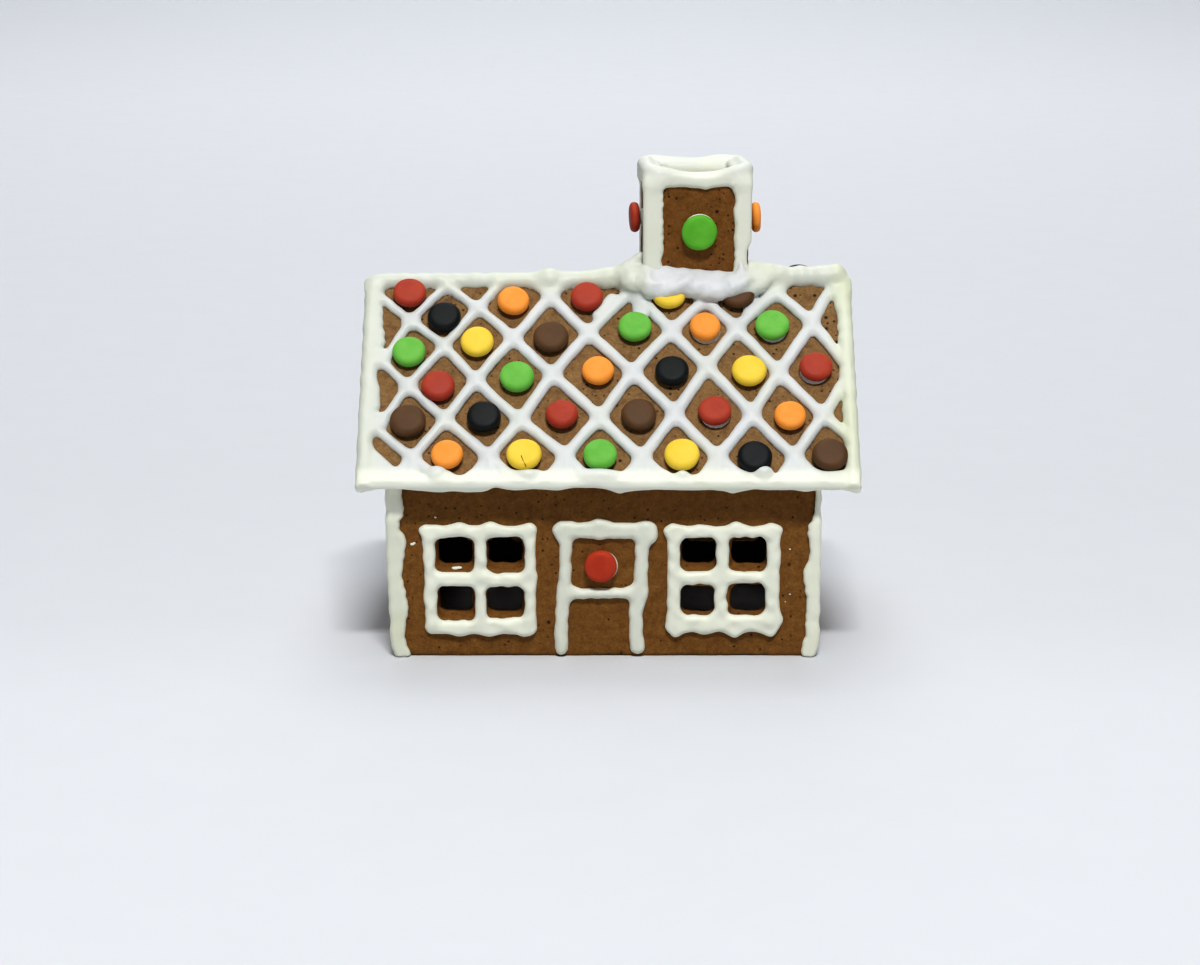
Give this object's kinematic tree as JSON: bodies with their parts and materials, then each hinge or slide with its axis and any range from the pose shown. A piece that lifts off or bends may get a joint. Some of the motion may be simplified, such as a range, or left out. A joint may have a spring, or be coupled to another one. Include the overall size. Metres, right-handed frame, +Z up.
{
  "type": "gingerbread house",
  "caption": "Gingerbread house with paned windows, an iced door, a steep roof with an icing lattice and round candies, and an off-centre open chimney.",
  "frame": {"origin": "on the surface that the house stands on, under the middle of the roof", "axes": "+X along the ridge, to the right of someone who faces the door; -Y out of the door wall; +Z up"},
  "size_m": [0.1844, 0.131, 0.1764],
  "materials": {
    "dough": "matte baked gingerbread with fine pores",
    "icing": "dried royal icing, soft satin",
    "candy_red": "sugar shell, soft gloss",
    "candy_orange": "sugar shell, soft gloss",
    "candy_yellow": "sugar shell, soft gloss",
    "candy_green": "sugar shell, soft gloss",
    "candy_black": "sugar shell, soft gloss",
    "candy_brown": "sugar shell, soft gloss"
  },
  "bodies": {
    "root": {"wall_front": "dough", "wall_back": "dough", "gable_left": "dough", "gable_right": "dough", "roof_front": "dough", "roof_back": "dough", "chimney_front": "dough", "chimney_back": "dough", "chimney_left": "dough", "chimney_right": "dough", "candy_roof_01_red": "candy_red", "candy_roof_11_black": "candy_black", "candy_roof_12_orange": "candy_orange", "candy_roof_13_red": "candy_red", "candy_roof_14_yellow": "candy_yellow", "candy_roof_15_brown": "candy_brown", "candy_roof_21_green": "candy_green", "candy_roof_22_yellow": "candy_yellow", "candy_roof_23_brown": "candy_brown", "candy_roof_24_green": "candy_green", "candy_roof_25_orange": "candy_orange", "candy_roof_26_green": "candy_green", "candy_roof_31_red": "candy_red", "candy_roof_32_green": "candy_green", "candy_roof_33_orange": "candy_orange", "candy_roof_34_black": "candy_black", "candy_roof_35_yellow": "candy_yellow", "candy_roof_36_red": "candy_red", "candy_roof_41_brown": "candy_brown", "candy_roof_42_black": "candy_black", "candy_roof_43_red": "candy_red", "candy_roof_44_brown": "candy_brown", "candy_roof_45_red": "candy_red", "candy_roof_46_orange": "candy_orange", "candy_roof_51_orange": "candy_orange", "candy_roof_52_yellow": "candy_yellow", "candy_roof_53_green": "candy_green", "candy_roof_54_yellow": "candy_yellow", "candy_roof_55_black": "candy_black", "candy_roof_56_brown": "candy_brown", "candy_ridge_black": "candy_black", "candy_door_red": "candy_red", "candy_chimney_front_green": "candy_green", "candy_chimney_right_orange": "candy_orange", "candy_chimney_back_yellow": "candy_yellow", "candy_chimney_left_red": "candy_red", "icing_ridge": "icing", "icing_roof_front": "icing", "icing_roof_back": "icing", "icing_window_front_1": "icing", "icing_window_front_2": "icing", "icing_window_back_1": "icing", "icing_window_back_2": "icing", "icing_door": "icing", "icing_gable_left": "icing", "icing_gable_right": "icing", "icing_chimney": "icing"}
  },
  "joints": []
}
